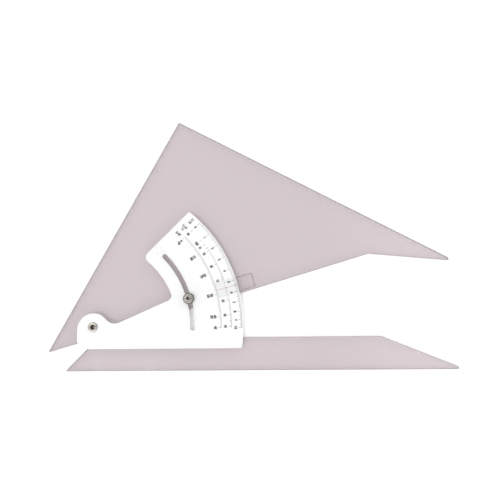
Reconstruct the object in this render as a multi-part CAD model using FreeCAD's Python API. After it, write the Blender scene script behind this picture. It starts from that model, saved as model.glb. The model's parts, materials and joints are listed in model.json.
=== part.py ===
import FreeCAD
import Part
import math
import os

# Adjustable set square, in millimetres. A clear strip and a clear triangular blade lie side by
# side on the table and turn against each other on a hollow pivot. A white plate is cemented on
# the strip and reaches over the triangle; a stud in the triangle slides in the plate's slot and
# carries the thumb nut that clamps the angle.
# The origin is on the pivot axis at the underside, +X along the ruling edge, +Z up.

V = FreeCAD.Vector
UP = V(0, 0, 1)

# --- driving dimensions: angles -------------------------------------------------------------
rest_opening = 16.48      # how far the triangle is swung open as stored, degrees
full_opening = 45.0       # the whole travel, degrees
index_angle = -0.7        # the cursor's and stud's ray, with the triangle closed, degrees
end_slant = 22.1          # slant of the strip's and triangle's right ends, degrees

# --- driving dimensions: the two clear blades ------------------------------------------------
blade_thick = 3.0
ruling_length = 250.0     # the strip's long lower edge, to its sharp corners
tip_cut = 3.6             # both right-hand tips are blunted by this much, measured closed
ruling_offset = 27.6      # pivot axis to the ruling edge
strip_offset = 7.1        # pivot axis to the strip's top edge and to its slanted left end
blade_gap = 0.25          # between the triangle and the strip, closed or fully open
leg_offset = 18.06        # pivot axis to the triangle's short side
hypotenuse_offset = 144.84  # pivot axis to the triangle's long side
blade_chamfer = 0.3
blade_corner_r = 0.4

# --- driving dimensions: the white scale plate -----------------------------------------------
bond_thick = 0.25
plate_thick = 1.5
plate_outer_r = 96.0
plate_inner_r = 54.0
plate_top_offset = 9.22   # pivot axis to the plate's upper straight edge
plate_lap = 6.7           # how far the plate reaches over the strip
boss_r = 10.1             # the plate's round end over the pivot
boss_centre_y = -1.35
neck_angle = 23.7         # the straight edge between boss and sector, degrees
neck_offset = -4.24
neck_blend_r = 8.0
boss_corner_r = 6.0
sector_corner_r = 4.0
neck_corner_r = 3.5
tip_corner_r = 1.8
foot_corner_r = 1.6
plate_chamfer = 0.2
bond_inset = 0.3          # the cement stops short of the edges

# --- driving dimensions: the arc slot --------------------------------------------------------
slot_r = 63.8
slot_width = 3.2
slot_start = -1.0         # centre of the slot's lower end, degrees
slot_end = 44.6

# --- driving dimensions: pivot ---------------------------------------------------------------
bore_r = 1.4              # clear bore through the hollow pivot
barrel_r = 1.9
running_clearance = 0.05
rim_r = 3.1
rim_height = 0.75
rim_outer_roll = 0.6
rim_inner_roll = 0.7
clinch_r = 2.8
clinch_height = 0.45
clinch_roll = 0.3
clinch_washer_r = 3.5
clinch_washer_thick = 0.4
bush_wall = 0.65
bush_flange_r = 4.5
recess_clearance = 0.4

# --- driving dimensions: clamp ---------------------------------------------------------------
stud_head_r = 2.9
stud_head_height = 1.0
stud_head_sink = 0.1      # the head stays this far above the table
shoulder_r = 1.35
shoulder_drop = 0.15      # the shoulder ends this far under the plate's face
thread_r = 1.0
thread_pitch = 0.4
stud_sink = 1.0           # the stud ends this far inside the nut
driver_slot_width = 0.6
driver_slot_depth = 0.4
washer_bore_r = 1.05
friction_washer_r = 3.2
friction_washer_thick = 0.3
clamp_washer_r = 3.35
clamp_washer_thick = 0.25
washer_gap = 0.05

nut_r = 3.55
nut_flange_height = 1.9
nut_step_r = 2.7
nut_step_height = 1.2
nut_collar_r = 1.9
nut_collar_height = 1.5
nut_bore_r = 1.04
nut_chamfer = 0.25
knurl_count = 36
knurl_depth = 0.18

# --- driving dimensions: cursor --------------------------------------------------------------
cursor_inner_r = 82.0     # distances along the index ray, from the pivot axis
cursor_outer_r = 106.9
cursor_width = 9.4
cursor_thick = 1.0
cursor_lift = 0.2         # between the plate's face and the window
cursor_corner_r = 0.8
cursor_chamfer = 0.15
spacer_inner_r = 96.8
spacer_outer_r = 103.7
spacer_width = 9.0
line_inner_r = 83.0
line_outer_r = 96.2
line_width = 0.25
line_depth = 0.12

# --- levels that follow from the above -------------------------------------------------------
plate_under = blade_thick + bond_thick
plate_face = plate_under + plate_thick
bush_bottom = clinch_height + clinch_washer_thick + running_clearance
cursor_under = plate_face + cursor_lift
friction_bottom = plate_face + washer_gap
washer_bottom = friction_bottom + friction_washer_thick
nut_bottom = washer_bottom + clamp_washer_thick
nut_top = nut_bottom + nut_flange_height + nut_step_height + nut_collar_height


# --- small helpers ---------------------------------------------------------------------------
def polar(radius, degrees):
    a = math.radians(degrees)
    return V(radius * math.cos(a), radius * math.sin(a), 0)


def line_at(offset, degrees):
    """A straight line as (nearest point to the pivot axis, direction)."""
    return polar(offset, degrees + 90), polar(1, degrees)


def crossing(line_a, line_b):
    (p, u), (q, w) = line_a, line_b
    t = (q - p).cross(w).z / u.cross(w).z
    return p + u * t


def circle_crossing(line, centre, radius, forward=True):
    p, u = line
    mid = (centre - p).dot(u)
    half = math.sqrt(radius ** 2 - (p + u * mid - centre).Length ** 2)
    return p + u * (mid + half if forward else mid - half)


def prism(points, bottom, height):
    wire = Part.makePolygon(points + points[:1])
    face = Part.Face(wire)
    face.translate(UP * bottom)
    return face.extrude(UP * height)


def disc(radius, bottom, height, centre=V(0, 0, 0)):
    return Part.makeCylinder(radius, height, centre + UP * bottom)


def ring(outer, inner, bottom, height, centre=V(0, 0, 0)):
    return disc(outer, bottom, height, centre).cut(disc(inner, bottom, height, centre))


def turned(outline, centre=V(0, 0, 0)):
    """A solid of revolution from (radius, height) pairs."""
    points = [V(r, 0, z) for r, z in outline]
    face = Part.Face(Part.makePolygon(points + points[:1]))
    solid = face.revolve(V(0, 0, 0), UP, 360)
    solid.translate(centre)
    return solid


def upright_edge_near(solid, point):
    """The upright edge of a prism that stands at a plan position."""
    def distance(edge):
        low, high = edge.Vertexes[0].Point, edge.Vertexes[-1].Point
        flat = math.hypot(low.x - point.x, low.y - point.y)
        return flat + math.hypot(low.x - high.x, low.y - high.y)
    return min((e for e in solid.Edges if len(e.Vertexes) == 2), key=distance)


def rim_edges(solid, level):
    """All edges lying in a horizontal plane."""
    def lies_in(edge):
        box = edge.BoundBox
        return abs(box.ZMin - level) < 1e-6 and abs(box.ZMax - level) < 1e-6
    return [e for e in solid.Edges if lies_in(e)]


def round_edge(solid, radius, level):
    """The circular edge of a turned piece with this radius at this height."""
    def miss(edge):
        box = edge.BoundBox
        return abs(box.XLength / 2 - radius) + abs(box.ZMin - level) + abs(box.ZMax - level)
    return min(solid.Edges, key=miss)


def break_edges(solid, levels, size):
    edges = [e for level in levels for e in rim_edges(solid, level)]
    return solid.makeChamfer(size, edges)


def swung(shape):
    """Moves a piece of the triangle's side from the closed position to the stored one."""
    shape.rotate(V(0, 0, 0), UP, rest_opening)
    return shape


# --- fixed side: strip, cement, plate and pivot ----------------------------------------------
ruling_line = line_at(-ruling_offset, 0)
strip_top_line = line_at(-strip_offset, 0)
strip_left_line = line_at(-strip_offset, 45)
ruling_left = crossing(ruling_line, strip_left_line)
ruling_right = ruling_left + V(ruling_length, 0, 0)
slant_dir = polar(1, -end_slant)
strip_right_line = (ruling_right, slant_dir)
tip_line = (ruling_right - V(tip_cut, 0, 0), V(0, 1, 0))


def blade(corners):
    sheet = prism(corners, 0, blade_thick)
    upright = [e for e in sheet.Edges if abs(e.BoundBox.ZLength - blade_thick) < 1e-3]
    sheet = sheet.makeFillet(blade_corner_r, upright)
    return break_edges(sheet, [0, blade_thick], blade_chamfer)


def base_blade():
    return blade([ruling_left, tip_line[0], crossing(tip_line, strip_right_line),
                  crossing(strip_right_line, strip_top_line),
                  crossing(strip_top_line, strip_left_line)])


def plate_corners():
    foot_line = line_at(-(strip_offset + plate_lap), 0)
    top_line = line_at(plate_top_offset, 45)
    neck_line = line_at(neck_offset, neck_angle)
    boss_centre = V(0, boss_centre_y, 0)
    return {
        "boss_left": boss_centre - V(boss_r, 0, 0),
        "boss_foot": V(-boss_r, foot_line[0].y, 0),
        "foot": circle_crossing(foot_line, V(0, 0, 0), plate_outer_r),
        "tip": circle_crossing(top_line, V(0, 0, 0), plate_outer_r),
        "sector": circle_crossing(top_line, V(0, 0, 0), plate_inner_r),
        "neck": circle_crossing(neck_line, V(0, 0, 0), plate_inner_r),
        "blend": circle_crossing(neck_line, boss_centre, boss_r),
        "boss_top": boss_centre + V(0, boss_r, 0),
    }


def arc(start, middle, end):
    return Part.Arc(start, middle, end).toShape()


def line(start, end):
    return Part.LineSegment(start, end).toShape()


def plate_blank():
    c = plate_corners()
    outer_middle = polar(plate_outer_r, full_opening / 2)
    inner_middle = polar(plate_inner_r, (end_slant + full_opening) / 2)
    outline = Part.Wire([
        line(c["boss_left"], c["boss_foot"]),
        line(c["boss_foot"], c["foot"]),
        arc(c["foot"], outer_middle, c["tip"]),
        line(c["tip"], c["sector"]),
        arc(c["sector"], inner_middle, c["neck"]),
        line(c["neck"], c["blend"]),
        arc(c["blend"], c["boss_top"], c["boss_left"]),
    ])
    blank = Part.Face(outline).extrude(UP * plate_thick)
    blank.translate(UP * plate_under)
    radii = {"boss_foot": boss_corner_r, "foot": foot_corner_r, "tip": tip_corner_r,
             "sector": sector_corner_r, "neck": neck_corner_r, "blend": neck_blend_r}
    for name, radius in radii.items():
        blank = blank.makeFillet(radius, [upright_edge_near(blank, c[name])])
    return blank


def slot_cutter():
    inner, outer = slot_r - slot_width / 2, slot_r + slot_width / 2
    middle = (slot_start + slot_end) / 2
    low, high = polar(slot_r, slot_start), polar(slot_r, slot_end)
    outline = Part.Wire([
        arc(polar(inner, slot_start), polar(inner, middle), polar(inner, slot_end)),
        arc(polar(inner, slot_end), high + polar(slot_width / 2, slot_end + 90),
            polar(outer, slot_end)),
        arc(polar(outer, slot_end), polar(outer, middle), polar(outer, slot_start)),
        arc(polar(outer, slot_start), low + polar(slot_width / 2, slot_start - 90),
            polar(inner, slot_start)),
    ])
    cutter = Part.Face(outline).extrude(UP * (plate_thick + 2))
    cutter.translate(UP * (plate_under - 1))
    return cutter


def scale_plate():
    blank = break_edges(plate_blank(), [plate_under, plate_face], plate_chamfer)
    return blank.cut(slot_cutter()).cut(disc(barrel_r, 0, plate_face + 1))


def plate_bond():
    """Cement film between the plate and the strip, where they overlap."""
    lap_top = line_at(-strip_offset - bond_inset, 0)
    lap_foot = line_at(-strip_offset - plate_lap + bond_inset, 0)
    left = line_at(-strip_offset - bond_inset, 45)
    right_x = plate_corners()["foot"].x - foot_corner_r
    corners = [crossing(lap_foot, left), V(right_x, lap_foot[0].y, 0),
               V(right_x, lap_top[0].y, 0), crossing(lap_top, left)]
    return prism(corners, blade_thick, bond_thick)


def pivot_eyelet():
    """Hollow rivet: rolled rim on the plate, barrel, and the clinched foot under the triangle."""
    rim_top = plate_face + rim_height
    rivet = turned([(bore_r, 0), (clinch_r, 0), (clinch_r, clinch_height),
                    (barrel_r, clinch_height), (barrel_r, plate_face),
                    (rim_r, plate_face), (rim_r, rim_top), (bore_r, rim_top)])
    for radius, level, roll in ((rim_r, rim_top, rim_outer_roll),
                                (bore_r, rim_top, rim_inner_roll),
                                (clinch_r, 0, clinch_roll)):
        rivet = rivet.makeFillet(roll, [round_edge(rivet, radius, level)])
    return rivet


def clinch_washer():
    return ring(clinch_washer_r, barrel_r, clinch_height, clinch_washer_thick)


# --- swinging side: triangle, bush, stud and cursor, all drawn closed and then swung ------------
def stud_place():
    return polar(slot_r, index_angle)


def triangle_blade():
    long_line = line_at(-strip_offset + blade_gap, 0)
    leg_line = line_at(leg_offset, 45)
    hypotenuse_line = line_at(hypotenuse_offset, -45)
    end_line = (strip_right_line[0] + polar(blade_gap, 90 - end_slant), slant_dir)
    sheet = blade([crossing(leg_line, long_line), crossing(long_line, end_line),
                   crossing(end_line, tip_line), crossing(tip_line, hypotenuse_line),
                   crossing(hypotenuse_line, leg_line)])
    head_recess = stud_head_sink + stud_head_height
    for hole in (disc(barrel_r + running_clearance + bush_wall, 0, blade_thick),
                 disc(clinch_washer_r + recess_clearance, 0, bush_bottom),
                 disc(shoulder_r, 0, blade_thick, stud_place()),
                 disc(stud_head_r, 0, head_recess, stud_place())):
        sheet = sheet.cut(hole)
    return swung(sheet)


def pivot_bush():
    """Flanged plain bearing in the triangle; the flange also spaces the plate off the blade."""
    bore = barrel_r + running_clearance
    flange_top = plate_under - running_clearance
    outline = [(bore, bush_bottom), (bore + bush_wall, bush_bottom),
               (bore + bush_wall, blade_thick), (bush_flange_r, blade_thick),
               (bush_flange_r, flange_top), (bore, flange_top)]
    return swung(turned(outline))


def clamp_stud():
    head_top = stud_head_sink + stud_head_height
    shoulder_top = plate_face - shoulder_drop
    end = nut_top - stud_sink
    tip = 0.2
    outline = [(0, stud_head_sink), (stud_head_r - tip, stud_head_sink),
               (stud_head_r, stud_head_sink + tip), (stud_head_r, head_top),
               (shoulder_r, head_top), (shoulder_r, shoulder_top), (thread_r, shoulder_top),
               (thread_r, end - tip), (thread_r - tip, end), (0, end)]
    stud = turned(outline)
    slot = Part.makeBox(2 * stud_head_r + 2, driver_slot_width, driver_slot_depth,
                        V(-stud_head_r - 1, -driver_slot_width / 2, stud_head_sink))
    stud = stud.cut(slot)
    stud.translate(stud_place())
    return swung(stud)


def friction_washer():
    return swung(ring(friction_washer_r, washer_bore_r, friction_bottom,
                      friction_washer_thick, stud_place()))


def along_index(inner, outer, width, bottom, height):
    """A flat block along the index ray, between two distances from the pivot axis."""
    block = Part.makeBox(outer - inner, width, height, V(inner, -width / 2, bottom))
    block.rotate(V(0, 0, 0), UP, index_angle)
    return block


def cursor_spacer():
    return swung(along_index(spacer_inner_r, spacer_outer_r, spacer_width,
                             blade_thick, cursor_under - blade_thick))


def line_block():
    return along_index(line_inner_r, line_outer_r, line_width, cursor_under, line_depth)


def cursor_window():
    window = along_index(cursor_inner_r, cursor_outer_r, cursor_width, cursor_under, cursor_thick)
    upright = [e for e in window.Edges if abs(e.BoundBox.ZLength - cursor_thick) < 1e-3]
    window = window.makeFillet(cursor_corner_r, upright)
    window = break_edges(window, [cursor_under + cursor_thick], cursor_chamfer)
    return swung(window.cut(line_block()))


def index_line():
    """Coloured filling of the hairline groove in the window's underside."""
    return swung(line_block())


# --- clamp: washer and knurled thumb nut -------------------------------------------------------
def clamp_washer():
    return swung(ring(clamp_washer_r, washer_bore_r, washer_bottom,
                      clamp_washer_thick, stud_place()))


def knurled_prism():
    points = []
    for i in range(2 * knurl_count):
        points.append(polar(nut_r - knurl_depth * (i % 2), 180 * i / knurl_count))
    return prism(points, nut_bottom, nut_flange_height)


def clamp_nut():
    flange_top = nut_bottom + nut_flange_height
    step_top = flange_top + nut_step_height
    b = nut_chamfer
    core = turned([(0, nut_bottom), (nut_r - 2 * b, nut_bottom), (nut_r, nut_bottom + b),
                   (nut_r, flange_top - b), (nut_r - b, flange_top), (0, flange_top)])
    tower = turned([(0, nut_bottom), (nut_step_r, nut_bottom), (nut_step_r, step_top - b),
                    (nut_step_r - b, step_top), (nut_collar_r, step_top),
                    (nut_collar_r, nut_top - b), (nut_collar_r - b, nut_top), (0, nut_top)])
    hole = turned([(0, nut_bottom - 1), (nut_bore_r, nut_bottom - 1), (nut_bore_r, nut_top - b),
                   (nut_bore_r + b, nut_top), (nut_bore_r + b, nut_top + 1), (0, nut_top + 1)])
    nut = core.common(knurled_prism()).fuse(tower).removeSplitter().cut(hole)
    nut.translate(stud_place())
    return swung(nut)


# --- export ------------------------------------------------------------------------------------
NODES = [base_blade, plate_bond, scale_plate, pivot_eyelet, clinch_washer,
         triangle_blade, pivot_bush, clamp_stud, friction_washer,
         cursor_spacer, cursor_window, index_line, clamp_washer, clamp_nut]

os.makedirs("parts", exist_ok=True)
for make in NODES:
    shape = make()
    name = make.__name__
    shape.exportStep("parts/" + name + ".step")
    print(name, len(shape.Solids), shape.isValid(), round(shape.Volume, 3),
          shape.BoundBox)
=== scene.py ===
"""Adjustable set square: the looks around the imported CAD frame.

Metres, Z up, the pivot's axis at X = Y = 0. The triangle is stored part way open, as the frame has it.
"""

import json
import math

import bmesh
import bpy
from mathutils import Matrix, Vector


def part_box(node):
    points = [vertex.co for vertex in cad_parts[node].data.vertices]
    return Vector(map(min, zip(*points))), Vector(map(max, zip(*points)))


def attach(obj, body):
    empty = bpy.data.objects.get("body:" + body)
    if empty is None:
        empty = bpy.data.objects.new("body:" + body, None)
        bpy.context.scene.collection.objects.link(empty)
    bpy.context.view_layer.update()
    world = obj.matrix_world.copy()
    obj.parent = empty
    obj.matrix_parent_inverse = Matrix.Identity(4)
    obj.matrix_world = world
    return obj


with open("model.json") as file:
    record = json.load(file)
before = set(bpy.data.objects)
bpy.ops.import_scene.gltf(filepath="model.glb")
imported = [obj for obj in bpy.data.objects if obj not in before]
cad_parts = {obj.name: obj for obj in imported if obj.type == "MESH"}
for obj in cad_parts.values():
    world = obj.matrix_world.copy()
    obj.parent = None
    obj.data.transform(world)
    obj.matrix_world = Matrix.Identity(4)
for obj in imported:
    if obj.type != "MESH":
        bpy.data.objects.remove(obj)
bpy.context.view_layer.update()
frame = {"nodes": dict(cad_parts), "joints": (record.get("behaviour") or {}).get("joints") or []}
MM = 0.001

# --- places read from the frame -----------------------------------------------------------------
SWING = next(j for j in frame["joints"] if j["name"] == "triangle_swing")
OPENING = -SWING["range_deg"][0]             # how far open the triangle is stored, degrees
PLATE_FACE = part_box("scale_plate")[1].z      # height of the plate's top face
PLATE_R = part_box("scale_plate")[1].x         # radius of its curved edge
PIVOT = Vector((0, 0, 0))
NUT_AXIS = sum(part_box("clamp_nut"), Vector()) / 2
NUT_AXIS.z = 0
INDEX_ANGLE = math.degrees(math.atan2(NUT_AXIS.y, NUT_AXIS.x))      # the hairline points through the nut
ALONG_INDEX = [Matrix.Rotation(math.radians(-INDEX_ANGLE), 3, "Z") @ v.co
               for v in frame["nodes"]["cursor_window"].data.vertices]
CURSOR_END = max(p.x for p in ALONG_INDEX)
CURSOR_HALF = max(p.y for p in ALONG_INDEX)

# --- printed scales, as radii from the pivot and angles on the plate ------------------------------
SCALE_ZERO = INDEX_ANGLE - OPENING           # where the hairline stands with the triangle closed
FULL_SWING = 45.0
INK_SUNK = 0.002 * MM
INK_THICK = 0.014 * MM
TICK_WIDTH = 0.17 * MM
FINE_TICK_WIDTH = 0.10 * MM
FIGURE_HEIGHT = 1.65 * MM
FIGURE_PITCH = 1.05 * MM
SECANT_PITCH = 0.86 * MM
HEADING_PITCH = 0.80 * MM
HEADING_PAST = 3.4                           # degrees from the scales' upper end to the headings
DEGREE_R = PLATE_R - 13.6 * MM               # outer ends of each scale's ticks
SECANT_R = PLATE_R - 7.2 * MM
TANGENT_R = PLATE_R - 0.55 * MM

DEGREE_FIGURED, DEGREE_TENS = 2.3 * MM, 1.9 * MM              # tick lengths
DEGREE_WHOLE, DEGREE_HALF = 1.2 * MM, 1.0 * MM
SECANT_FIGURED, SECANT_BETWEEN, SECANT_FINE = 2.1 * MM, 1.4 * MM, 0.9 * MM
TANGENT_TENTHS, TANGENT_FIVES, TANGENT_FINE = 2.7 * MM, 1.8 * MM, 1.15 * MM

RISE_ROW = DEGREE_R - 6.2 * MM               # radii of the rows of figures
FALL_ROW = DEGREE_R - 4.1 * MM
ZERO_ROW = DEGREE_R - 4.0 * MM
SECANT_ROW = SECANT_R - 4.1 * MM
TANGENT_ROW = TANGENT_R - 4.3 * MM
# text, radius, degrees back toward the scales, pitch
HEADINGS = (("0-90°", DEGREE_R - 2.0 * MM, 0.0, SECANT_PITCH),
            ("1:1", SECANT_R - 4.2 * MM, 0.0, HEADING_PITCH),
            ("1:1.41", SECANT_R - 2.1 * MM, 0.0, HEADING_PITCH),
            ("1:0", TANGENT_R - 4.4 * MM, 0.4, HEADING_PITCH),
            ("1:1", TANGENT_R - 2.2 * MM, 0.4, HEADING_PITCH))

FONT_CAPITAL = 0.69                          # height of a figure in the built-in font, per unit of size
FONT_PITCH = 0.50                            # and how far apart its figures stand
FONT_BOLDER = 0.060
FONT_HALF_DEPTH = 0.5                        # makes the figures one unit thick before they are scaled

# --- camera and lights ----------------------------------------------------------------------------
CAMERA_AT = Vector((114.65, -2.71, 347.9)) * MM
CAMERA_TURN = (0.1467, 0.0423, -0.0089)
CAMERA_LENS = 38.917                         # on a sensor 36 mm wide
SENSOR_WIDTH = 36.0
CAMERA_NEAR = 0.01
SUN_FROM = Vector((-0.30, -0.31, 1.0))
SUN_SPREAD = 24.0
SUN_POWER = 0.86
FLOOR_GLOW = 0.20                            # the floor is a weakly lit table, so its shadows are pale
FLOOR_HALF, FLOOR_BELOW = 3.0, 0.15 * MM
ROOM_LOW, ROOM_HIGH = 1.22, 0.48             # brightness of the room at the horizon and overhead
DIMS_FROM, DIMS_TO = 0.45, 0.95              # height on the unit sphere over which it changes
CLEAR_FACES = 32                             # clear faces a ray may pass: the cursor's stack has six

# --- metals and other colours ---------------------------------------------------------------------
NICKEL = (0.50, 0.475, 0.425, 1)
BRIGHT_NICKEL = (0.68, 0.65, 0.61, 1)
STEEL = (0.56, 0.55, 0.53, 1)
BLACKENED_STEEL = (0.13, 0.12, 0.105, 1)
BROWN = (0.13, 0.105, 0.075, 1)
UMBER = (0.045, 0.033, 0.022, 1)
STRIP_TINT = (0.866, 0.8365, 0.845, 1)
TRIANGLE_TINT = (0.863, 0.8335, 0.842, 1)
# painted shade: the darker colour of the acrylic's cut edges
SHADED_CUT_EDGE = (0.70, 0.66, 0.67, 1)
# rings of painted shade on the nut, outside in: its knurled flange, the collar's foot and the bore
NUT_SHADE_RINGS = ((3.25, 0.55, 0.78), (2.06, 0.24, 0.7), (0.0, 1.2, 0.9))


# ================================================================================================
# small mesh tools
# ================================================================================================
def polar(radius, degrees, z=0.0):
    a = math.radians(degrees)
    return Vector((radius * math.cos(a), radius * math.sin(a), z))


def new_piece(name, bm, body, material):
    mesh = bpy.data.meshes.new(name)
    bmesh.ops.recalc_face_normals(bm, faces=bm.faces)
    bm.to_mesh(mesh)
    bm.free()
    piece = bpy.data.objects.new(name, mesh)
    bpy.context.scene.collection.objects.link(piece)
    mesh.materials.append(material)
    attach(piece, body)
    return piece


def slab(bm, outline, bottom, thick):
    """A closed flat prism over a plan outline."""
    low = [bm.verts.new((p.x, p.y, bottom)) for p in outline]
    high = [bm.verts.new((p.x, p.y, bottom + thick)) for p in outline]
    bm.faces.new(reversed(low))
    bm.faces.new(high)
    for i in range(len(outline)):
        j = (i + 1) % len(outline)
        bm.faces.new((low[i], low[j], high[j], high[i]))


def tick(bm, outer, length, degrees, width=TICK_WIDTH):
    """One printed graduation, running inward from its outer end."""
    side = polar(width / 2, degrees + 90)
    a, b = polar(outer - length, degrees), polar(outer, degrees)
    slab(bm, [a - side, b - side, b + side, a + side], PLATE_FACE - INK_SUNK, INK_THICK)


def figures(bm, text, radius, degrees, pitch=FIGURE_PITCH):
    """Printed figures, read along the arc with their tops outward."""
    curve = bpy.data.curves.new("figures", "FONT")
    curve.body = text
    curve.size = 1.0
    curve.offset = FONT_BOLDER
    curve.resolution_u = 3
    curve.extrude = FONT_HALF_DEPTH
    holder = bpy.data.objects.new("figures", curve)
    bpy.context.scene.collection.objects.link(holder)
    bpy.context.view_layer.update()
    depsgraph = bpy.context.evaluated_depsgraph_get()
    mesh = bpy.data.meshes.new_from_object(holder.evaluated_get(depsgraph))
    xs = [v.co.x for v in mesh.vertices]
    middle = Vector(((min(xs) + max(xs)) / 2, FONT_CAPITAL / 2, 0))
    scale = Matrix.Diagonal((pitch / FONT_PITCH, FIGURE_HEIGHT / FONT_CAPITAL, INK_THICK, 1))
    face = Matrix.Translation(polar(radius, degrees, PLATE_FACE - INK_SUNK + INK_THICK / 2))
    turn = Matrix.Rotation(math.radians(degrees - 90), 4, "Z")
    mesh.transform(face @ turn @ scale @ Matrix.Translation(-middle))
    bm.from_mesh(mesh)
    bpy.data.objects.remove(holder)
    bpy.data.curves.remove(curve)
    bpy.data.meshes.remove(mesh)


# ================================================================================================
# small material tools
# ================================================================================================
class Paint:
    """Builds one node material. Each call adds a node and returns one of its outputs."""

    def __init__(self, name):
        self.material = bpy.data.materials.new(name)
        self.material.use_nodes = True
        self.tree = self.material.node_tree
        self.tree.nodes.clear()

    def add(self, kind, sockets=None, out=0, **settings):
        node = self.tree.nodes.new(kind)
        for key, value in settings.items():
            setattr(node, key, value)
        for key, value in (sockets or {}).items():
            if isinstance(value, bpy.types.NodeSocket):
                self.tree.links.new(value, node.inputs[key])
            else:
                node.inputs[key].default_value = value
        return node.outputs[out] if node.outputs else None

    def place(self, centre=(0, 0, 0), scale=(1, 1, 1), turn=0.0):
        """Coordinates on the piece, from a centre, turned about Z and then stretched."""
        coords = self.add("ShaderNodeTexCoord", out="Object")
        moved = self.add("ShaderNodeVectorMath", {0: coords, 1: tuple(centre)}, operation="SUBTRACT")
        turned = self.add("ShaderNodeVectorRotate", {"Vector": moved, "Angle": math.radians(turn)},
                          rotation_type="Z_AXIS")
        return self.add("ShaderNodeVectorMath", {0: turned, 1: scale}, operation="MULTIPLY")

    def noise(self, vector, scale, detail=4.0, rough=0.55):
        return self.add("ShaderNodeTexNoise", {"Vector": vector, "Scale": scale, "Detail": detail,
                                               "Roughness": rough})

    def ramp(self, value, low, high, to_low=0.0, to_high=1.0):
        return self.add("ShaderNodeMapRange", {"Value": value, "From Min": low, "From Max": high,
                                               "To Min": to_low, "To Max": to_high})

    def maths(self, operation, a, b=0.0):
        return self.add("ShaderNodeMath", {0: a, 1: b}, operation=operation)

    def times(self, a, b):
        return self.maths("MULTIPLY", a, b)

    def plus(self, total, *others):
        for other in others:
            total = self.maths("ADD", total, other)
        return total

    def either(self, a, b):
        return self.maths("MAXIMUM", a, b)

    def gap(self, a, b):
        """How far apart two values are."""
        return self.maths("ABSOLUTE", self.maths("SUBTRACT", a, b))

    def axis(self, vector, name):
        """One coordinate of a vector."""
        return self.add("ShaderNodeSeparateXYZ", {0: vector}, out=name)

    def blend(self, share, a, b):
        """The colour mix of a and b by share."""
        factor, first, second, colour = 0, 6, 7, 2      # the Mix node's sockets for colours
        return self.add("ShaderNodeMix", {factor: share, first: a, second: b}, out=colour,
                        data_type="RGBA")

    def bump(self, height, distance, strength=1.0, under=None):
        sockets = {"Height": height, "Distance": distance, "Strength": strength}
        if under is not None:
            sockets["Normal"] = under
        return self.add("ShaderNodeBump", sockets)

    def scratches(self, per_metre, turn, amount):
        """Fine straight scratches that all run one way, 0 to 1."""
        drawn_out = (1 / 70.0, 1, 1)
        streaks = self.noise(self.place(turn=turn, scale=drawn_out), per_metre, detail=3.0)
        return self.ramp(streaks, 0.78 - amount, 0.86 - amount)

    def rings(self, centre, per_metre, wander):
        """Turned rings about an upright axis, 0 to 1."""
        rings_per_scale = 3.2
        sockets = {"Vector": self.place(centre), "Scale": per_metre / rings_per_scale,
                   "Distortion": wander, "Detail": 1.0}
        return self.add("ShaderNodeTexWave", sockets, out="Fac", wave_type="RINGS", rings_direction="Z")

    def from_axis(self, centre):
        """Distance from an upright axis."""
        flat = self.place(centre, scale=(1, 1, 0))
        return self.add("ShaderNodeVectorMath", {0: flat}, out="Value", operation="LENGTH")

    def steepness(self):
        """0 on faces that lie flat, 1 on chamfers and upright faces."""
        flat, steep = 0.97, 0.7
        normal = self.add("ShaderNodeTexCoord", out="Normal")
        z = self.maths("ABSOLUTE", self.axis(normal, "Z"))
        return self.ramp(z, flat, steep)

    def hollows(self, reach):
        """1 deep in corners and holes, 0 in the open."""
        ao = self.add("ShaderNodeAmbientOcclusion", {"Distance": reach}, out="AO")
        return self.maths("SUBTRACT", 1.0, ao)

    def principled(self, **sockets):
        return self.add("ShaderNodeBsdfPrincipled", {k.replace("_", " "): v for k, v in sockets.items()})

    def shade_mix(self, share, a, b):
        return self.add("ShaderNodeMixShader", {0: share, 1: a, 2: b})

    def finish(self, shader):
        self.add("ShaderNodeOutputMaterial", {"Surface": shader})
        return self.material


# ================================================================================================
# materials
# ================================================================================================
def see_through(p, tint, body, haze, rough, normal, open_faces=1.0):
    """A clear sheet: tinted where light passes, a mirror at a glance, with a share that scatters light.

    Light goes straight through, so both sides of a face mirror alike, by Schlick's rule.
    """
    straight_on, schlick_power = 0.04, 5.0
    passed = p.add("ShaderNodeBsdfTransparent", {"Color": tint})
    gloss = p.principled(Base_Color=(1, 1, 1, 1), Metallic=1.0, Roughness=rough, Normal=normal)
    glance = p.add("ShaderNodeLayerWeight", {"Blend": 0.5, "Normal": normal}, out="Facing")
    mirror = p.ramp(p.maths("POWER", glance, schlick_power), 0.0, 1.0, straight_on, 1.0)
    clear = p.shade_mix(p.times(mirror, open_faces), passed, gloss)
    milk = p.principled(Base_Color=body, Roughness=0.45, IOR=1.49, Normal=normal)
    return p.shade_mix(haze, clear, milk)


def scaled(colour, share):
    return tuple(c * share for c in colour[:3]) + (1,)


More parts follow.
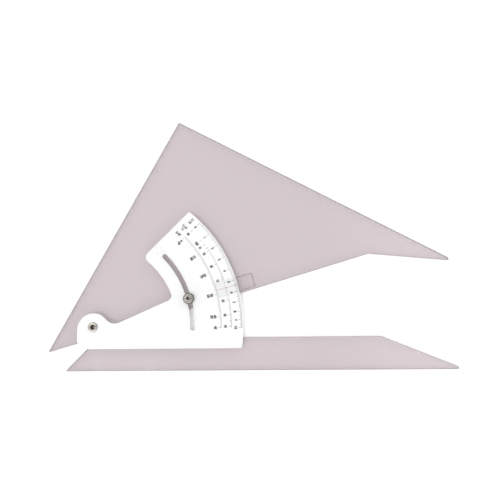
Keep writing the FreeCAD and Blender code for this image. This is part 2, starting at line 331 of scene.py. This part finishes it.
def acrylic(name, grain_turn, tint):
    """Cast acrylic with a faint rose-grey tint, satin cut edges with painted shade, and the fine marks
    of use.

    Painted light makes the sheet a little lighter toward the tips, over pale_from to pale_to along X.
    """
    p = Paint(name)
    pale_from, pale_to = 0.15, 0.23
    clouds = p.noise(p.place(), 14.0, detail=2.0)
    # painted light along X, mixed with random tone from the clouds
    painted_light_across = p.ramp(p.axis(p.place(), "X"), pale_from, pale_to)
    painted_light_and_tone = p.plus(p.times(painted_light_across, 0.7), p.times(clouds, 0.3))
    sheet = p.blend(painted_light_and_tone, scaled(tint, 0.990), scaled(tint, 1.045))
    steep = p.steepness()
    saw = p.noise(p.place(scale=(1, 1, 0.08)), 900.0, detail=3.0)
    # painted shade: upright cut edges take a darker colour
    colour = p.blend(steep, sheet, SHADED_CUT_EDGE)
    fine = p.scratches(1500.0, grain_turn, 0.10)
    cross = p.scratches(1100.0, grain_turn + 68.0, 0.08)
    marks = p.either(fine, cross)
    smudge = p.ramp(p.noise(p.place(), 38.0, detail=5.0, rough=0.6), 0.5, 0.75)
    rough = p.plus(0.05, p.times(smudge, 0.10), p.times(steep, 0.30), p.times(marks, 0.18))
    ripple = p.noise(p.place(), 55.0, detail=1.0)
    normal = p.bump(ripple, 0.00004, 0.25)
    normal = p.bump(marks, 0.000004, 0.35, normal)
    normal = p.bump(p.times(saw, steep), 0.00003, 0.6, normal)
    haze = p.plus(0.035, p.times(marks, 0.05), p.times(steep, 0.30))
    # painted shade: the scattered share is darker on the cut edges
    body = p.blend(steep, (0.62, 0.56, 0.57, 1), (0.36, 0.33, 0.34, 1))
    return p.finish(see_through(p, colour, body, haze, rough, normal))


def white_plastic():
    """The scale plate: white, semi-gloss, with a rubbed track where the clamp washer slides."""
    p = Paint("white_plate")
    tone = p.noise(p.place(), 26.0, detail=3.0)
    base = p.blend(tone, (0.885, 0.890, 0.895, 1), (0.92, 0.92, 0.918, 1))
    untouched, worn = 4.0 * MM, 2.6 * MM            # distances from the slot's middle line
    track = p.ramp(p.gap(p.from_axis(PIVOT), NUT_AXIS.length), untouched, worn)
    rubbed = p.times(track, p.ramp(p.noise(p.place(), 420.0, detail=6.0), 0.42, 0.66))
    base = p.blend(p.times(rubbed, 0.22), base, (0.66, 0.67, 0.68, 1))
    # painted shade: the plate is darkened in corners and beside the parts on it
    painted_shade = p.times(p.hollows(1.2 * MM), 0.16)
    base = p.blend(painted_shade, base, (0.52, 0.50, 0.47, 1))
    marks = p.either(p.scratches(1300.0, 31.0, 0.11), p.scratches(900.0, -47.0, 0.09))
    rough = p.ramp(p.noise(p.place(), 90.0, detail=5.0), 0.3, 0.7, 0.30, 0.42)
    rough = p.plus(rough, p.times(track, -0.09), p.times(marks, 0.12))
    normal = p.bump(p.noise(p.place(), 1900.0, detail=2.0), 0.000006, 0.5)
    normal = p.bump(marks, 0.000005, 0.4, normal)
    return p.finish(p.principled(Base_Color=base, Roughness=rough, IOR=1.5, Normal=normal))


def turned_metal(name, bright, tarnish_and_shade_colour, centre, per_metre, rough, hollow_reach, ring_depth=0.000008,
                 shade_rings=()):
    """Plated or plain turned metal with tool rings, tarnished spots, and painted shade in the hollows
    and in rings.

    A shade ring is its middle radius and half width in millimetres, and how dark its painted shade is.
    """
    p = Paint(name)
    rings = p.rings(centre, per_metre, wander=0.6)
    clouds = p.noise(p.place(), 700.0, detail=5.0, rough=0.6)
    hollow = p.hollows(hollow_reach)
    base = p.blend(p.ramp(clouds, 0.35, 0.7), bright, scaled(bright, 0.86))
    spots = p.ramp(p.noise(p.place(), 430.0, detail=4.0), 0.56, 0.68, 0.0, 0.5)
    # painted shade deep in hollows, joined with real tarnished spots
    tarnish_and_shade_mask = p.either(p.ramp(hollow, 0.25, 0.75), spots)
    # painted shade in rings about the axis
    for middle, half_width, share in shade_rings:
        off = p.gap(p.from_axis(centre), middle * MM)
        tarnish_and_shade_mask = p.either(tarnish_and_shade_mask, p.ramp(off, half_width * MM, 0.75 * half_width * MM, 0.0, share))
    base = p.blend(tarnish_and_shade_mask, base, tarnish_and_shade_colour)
    roughness = p.ramp(clouds, 0.3, 0.7, rough, rough + 0.14)
    roughness = p.plus(roughness, p.times(hollow, 0.25))
    normal = p.bump(rings, ring_depth, 0.5)
    normal = p.bump(clouds, 0.000006, 0.3, normal)
    return p.finish(p.principled(Base_Color=base, Metallic=1.0, Roughness=roughness, Normal=normal))


def nylon():
    """Natural nylon: milky, matt, with faint moulding grain."""
    p = Paint("nylon")
    grain = p.noise(p.place(), 1600.0, detail=3.0)
    base = p.blend(grain, (0.74, 0.73, 0.68, 1), (0.82, 0.81, 0.77, 1))
    # painted shade: darker in hollows and close to other parts
    base = p.blend(p.times(p.hollows(0.8 * MM), 0.4), base, (0.45, 0.43, 0.38, 1))
    rough = p.ramp(grain, 0.3, 0.7, 0.48, 0.62)
    normal = p.bump(grain, 0.00001, 0.5)
    return p.finish(p.principled(Base_Color=base, Roughness=rough, IOR=1.53,
                                 Subsurface_Weight=0.15, Subsurface_Scale=0.0006, Normal=normal))


def clear_cursor(name, cloudy):
    """Water-clear acrylic, with painted shade at the rims that stand past the plate and on its upright
    faces.

    Cloudy adds the blotches and bubbles of the cement behind a pad, 0 to 1.
    """
    p = Paint(name)
    steep = p.steepness()
    blot = p.ramp(p.noise(p.place(), 420.0, detail=3.0, rough=0.6), 0.46, 0.60)
    bubble = p.add("ShaderNodeTexVoronoi", {"Vector": p.place(), "Scale": 900.0}, out="Distance")
    bubble = p.ramp(bubble, 0.22, 0.12)
    film = p.times(p.either(blot, bubble), cloudy)
    tint = p.blend(film, (0.999, 0.999, 0.999, 1), (0.975, 0.972, 0.974, 1))
    # painted shade: upright faces are tinted darker
    tint = p.blend(steep, tint, (0.95, 0.945, 0.95, 1))
    # painted shade: a dark band along the cursor's end, and along its sides past the plate
    past_plate = p.ramp(p.from_axis(PIVOT), PLATE_R, PLATE_R + 0.6 * MM)
    along = p.place(turn=-INDEX_ANGLE)
    end_rim_shade = p.ramp(p.axis(along, "X"), CURSOR_END - 1.0 * MM, CURSOR_END - 0.5 * MM)
    off_middle = p.maths("ABSOLUTE", p.axis(along, "Y"))
    side_rim_shade = p.ramp(off_middle, CURSOR_HALF - 0.9 * MM, CURSOR_HALF - 0.4 * MM, 0.0, 0.6)
    rim_shade = p.either(end_rim_shade, p.times(side_rim_shade, past_plate))
    tint = p.blend(rim_shade, tint, (0.84, 0.81, 0.82, 1))
    haze = p.plus(p.times(film, 0.05), p.times(steep, 0.16), 0.003)
    open_faces = p.either(steep, 0.12 * (1.0 - cloudy))
    marks = p.scratches(2100.0, 12.0, 0.10)
    rough = p.plus(0.05, p.times(marks, 0.2), p.times(steep, 0.25))
    normal = p.bump(p.noise(p.place(), 160.0, detail=1.0), 0.00002, 0.3)
    normal = p.bump(marks, 0.000004, 0.4, normal)
    # painted shade: the scattered share is darker on upright faces
    body = p.blend(steep, (0.72, 0.70, 0.71, 1), (0.46, 0.44, 0.45, 1))
    return p.finish(see_through(p, tint, body, haze, rough, normal, open_faces))


def cement():
    """The thin cement film under the plate: pale, with drawn-out bubbles."""
    p = Paint("cement")
    bubble = p.add("ShaderNodeTexVoronoi", {"Vector": p.place(), "Scale": 700.0}, out="Distance")
    bubble = p.ramp(bubble, 0.30, 0.18)
    flow = p.noise(p.place(scale=(0.4, 1, 1)), 260.0, detail=4.0)
    base = p.blend(flow, (0.74, 0.72, 0.68, 1), (0.84, 0.83, 0.80, 1))
    base = p.blend(p.times(bubble, 0.5), base, (0.62, 0.60, 0.57, 1))
    normal = p.bump(p.plus(flow, bubble), 0.00004, 0.5)
    return p.finish(p.principled(Base_Color=base, Roughness=p.ramp(flow, 0.3, 0.7, 0.25, 0.5),
                                 IOR=1.5, Normal=normal))


def ink():
    """Screen-printed scale ink: thin, matt and a little uneven."""
    p = Paint("printing_ink")
    cover = p.noise(p.place(), 2600.0, detail=4.0)
    base = p.blend(p.ramp(cover, 0.35, 0.72), (0.022, 0.024, 0.028, 1), (0.070, 0.074, 0.082, 1))
    rough = p.ramp(cover, 0.3, 0.7, 0.48, 0.66)
    return p.finish(p.principled(Base_Color=base, Roughness=rough, Normal=p.bump(cover, 0.000004, 0.5)))


def red_lacquer():
    """The hairline's filling, a little thin in places."""
    p = Paint("red_filling")
    cover = p.noise(p.place(), 1800.0, detail=4.0)
    base = p.blend(p.ramp(cover, 0.35, 0.7), (0.66, 0.11, 0.10, 1), (0.80, 0.28, 0.26, 1))
    filled = p.principled(Base_Color=base, Roughness=p.ramp(cover, 0.3, 0.7, 0.3, 0.5),
                          Normal=p.bump(cover, 0.000006, 0.5))
    bare = p.add("ShaderNodeBsdfTransparent")
    return p.finish(p.shade_mix(p.ramp(cover, 0.30, 0.70, 0.30, 0.60), bare, filled))


def dress(node, material):
    """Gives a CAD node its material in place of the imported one."""
    mesh = frame["nodes"][node].data
    mesh.materials.clear()
    mesh.materials.append(material)


def dress_all():
    dress("base_blade", acrylic("tinted_acrylic_strip", 4.0, STRIP_TINT))
    dress("triangle_blade", acrylic("tinted_acrylic_triangle", -22.0, TRIANGLE_TINT))
    dress("scale_plate", white_plastic())
    dress("plate_bond", cement())
    dress("pivot_eyelet", turned_metal("nickel_eyelet", NICKEL, BROWN, PIVOT, per_metre=5200.0,
                                       rough=0.20, hollow_reach=3.0 * MM, ring_depth=0.000006))
    dress("clinch_washer", turned_metal("nickel_washer", NICKEL, UMBER, PIVOT, per_metre=4200.0,
                                        rough=0.26, hollow_reach=1.5 * MM))
    dress("clamp_nut", turned_metal("nickel_nut", BRIGHT_NICKEL, UMBER, NUT_AXIS, per_metre=6400.0,
                                    rough=0.18, hollow_reach=1.6 * MM, shade_rings=NUT_SHADE_RINGS))
    dress("clamp_stud", turned_metal("steel_stud", BLACKENED_STEEL, UMBER, NUT_AXIS, per_metre=5600.0,
                                     rough=0.3, hollow_reach=1.6 * MM, ring_depth=0.000010))
    dress("clamp_washer", turned_metal("steel_washer", STEEL, UMBER, NUT_AXIS, per_metre=4800.0,
                                       rough=0.26, hollow_reach=1.0 * MM))
    for node in ("pivot_bush", "friction_washer"):
        dress(node, nylon())
    dress("cursor_window", clear_cursor("cursor_window", 0.0))
    dress("cursor_spacer", clear_cursor("cursor_pad", 1.0))
    dress("index_line", red_lacquer())


# ================================================================================================
# printed scales
# ================================================================================================
def at_slope(degrees):
    """Where on the plate a slope is read: the scales run from the far end of the swing down to zero."""
    return SCALE_ZERO + FULL_SWING - degrees


def print_degrees(bm):
    """Half-degree scale with two rows of figures: the rise above and below the half right angle."""
    for half in range(int(2 * FULL_SWING) + 1):
        degrees = half / 2
        if degrees % 10 == 5 or degrees == 0:
            length = DEGREE_FIGURED
        elif degrees % 5 == 0:
            length = DEGREE_TENS
        else:
            length = DEGREE_WHOLE if half % 2 == 0 else DEGREE_HALF
        tick(bm, DEGREE_R, length, SCALE_ZERO + degrees)
    for opened in (5, 15, 25, 35, 45):
        figures(bm, str(int(FULL_SWING) + opened), RISE_ROW, SCALE_ZERO + opened)
        figures(bm, str(int(FULL_SWING) - opened), FALL_ROW, SCALE_ZERO + opened)
    figures(bm, str(int(FULL_SWING)), ZERO_ROW, SCALE_ZERO)


def print_secants(bm):
    """Length along the slope for one along the level."""
    def place_of(secant):
        return at_slope(math.degrees(math.acos(1 / secant)))

    def tick_at(secant, length, width=TICK_WIDTH):
        tick(bm, SECANT_R, length, place_of(secant), width)

    for thousandths in (*range(1016, 1100, 2), *range(1100, 1415, 5)):
        tick_at(thousandths / 1000, SECANT_FINE, FINE_TICK_WIDTH)
    for thousandths in (1015, 1150, 1250, 1350):
        tick_at(thousandths / 1000, SECANT_BETWEEN)
    labels = ((1.0, "00"), (1.005, "005"), (1.01, "01"), (1.02, "02"), (1.05, "05"),
              (1.1, "10"), (1.2, "20"), (1.3, "30"), (1.4, "40"))
    for secant, text in labels:
        tick_at(secant, SECANT_FIGURED)
        figures(bm, text, SECANT_ROW, place_of(secant), SECANT_PITCH)


def print_tangents(bm):
    """Rise for one along the level, in hundredths, with figures at the tenths."""
    for hundredths in range(101):
        place = at_slope(math.degrees(math.atan(hundredths / 100)))
        if hundredths % 10 == 0:
            tick(bm, TANGENT_R, TANGENT_TENTHS, place)
            figures(bm, str(hundredths // 10), TANGENT_ROW, place)
        else:
            tick(bm, TANGENT_R, TANGENT_FIVES if hundredths % 5 == 0 else TANGENT_FINE, place)


def print_headings(bm):
    """Figures that say what each scale runs through, past its upper end."""
    head = SCALE_ZERO + FULL_SWING + HEADING_PAST
    for text, radius, back, pitch in HEADINGS:
        figures(bm, text, radius, head - back, pitch)


def print_plate():
    material = ink()
    scales = (("degree_scale", print_degrees), ("secant_scale", print_secants),
              ("tangent_scale", print_tangents), ("scale_headings", print_headings))
    for name, draw in scales:
        bm = bmesh.new()
        draw(bm)
        new_piece(name, bm, "base", material)


# ================================================================================================
# stage
# ================================================================================================
def make_floor():
    """A plain, nearly white paper ground, just under the set square."""
    bm = bmesh.new()
    corners = ((-1, -1), (1, -1), (1, 1), (-1, 1))
    bm.faces.new([bm.verts.new((x * FLOOR_HALF, y * FLOOR_HALF, -FLOOR_BELOW)) for x, y in corners])
    mesh = bpy.data.meshes.new("floor")
    bm.to_mesh(mesh)
    bm.free()
    floor = bpy.data.objects.new("floor", mesh)
    bpy.context.scene.collection.objects.link(floor)
    p = Paint("floor_paper")
    fibres = p.noise(p.place(), 300.0, detail=4.0)
    base = p.blend(fibres, (0.94, 0.94, 0.94, 1), (0.96, 0.96, 0.96, 1))
    paper = p.principled(Base_Color=base, Roughness=0.9, Specular_IOR_Level=0.1,
                         Emission_Color=(1, 1, 1, 1), Emission_Strength=FLOOR_GLOW)
    mesh.materials.append(p.finish(paper))


def make_sun():
    light = bpy.data.lights.new("soft_key", "SUN")
    light.angle = math.radians(SUN_SPREAD)
    light.energy = SUN_POWER
    holder = bpy.data.objects.new("soft_key", light)
    bpy.context.scene.collection.objects.link(holder)
    holder.rotation_euler = SUN_FROM.to_track_quat("Z", "Y").to_euler()


def make_room():
    """A bright, even room that is dimmer overhead."""
    world = bpy.data.worlds.new("studio")
    bpy.context.scene.world = world
    world.use_nodes = True
    tree = world.node_tree
    tree.nodes.clear()
    direction = tree.nodes.new("ShaderNodeTexCoord")
    height = tree.nodes.new("ShaderNodeSeparateXYZ")
    tree.links.new(direction.outputs["Generated"], height.inputs[0])
    dim = tree.nodes.new("ShaderNodeMapRange")
    tree.links.new(height.outputs["Z"], dim.inputs["Value"])
    for key, value in (("From Min", DIMS_FROM), ("From Max", DIMS_TO),
                       ("To Min", ROOM_LOW), ("To Max", ROOM_HIGH)):
        dim.inputs[key].default_value = value
    back = tree.nodes.new("ShaderNodeBackground")
    back.inputs["Color"].default_value = (1, 1, 1, 1)
    tree.links.new(dim.outputs[0], back.inputs["Strength"])
    out = tree.nodes.new("ShaderNodeOutputWorld")
    tree.links.new(back.outputs[0], out.inputs["Surface"])


def make_camera():
    data = bpy.data.cameras.new("camera")
    data.lens = CAMERA_LENS
    data.sensor_width = SENSOR_WIDTH
    data.clip_start = CAMERA_NEAR
    camera = bpy.data.objects.new("camera", data)
    bpy.context.scene.collection.objects.link(camera)
    camera.location = CAMERA_AT
    camera.rotation_euler = CAMERA_TURN
    bpy.context.scene.camera = camera


make_camera()
make_floor()
make_room()
make_sun()
bpy.context.scene.view_settings.view_transform = "Standard"
bpy.context.scene.cycles.transparent_max_bounces = CLEAR_FACES
dress_all()
print_plate()
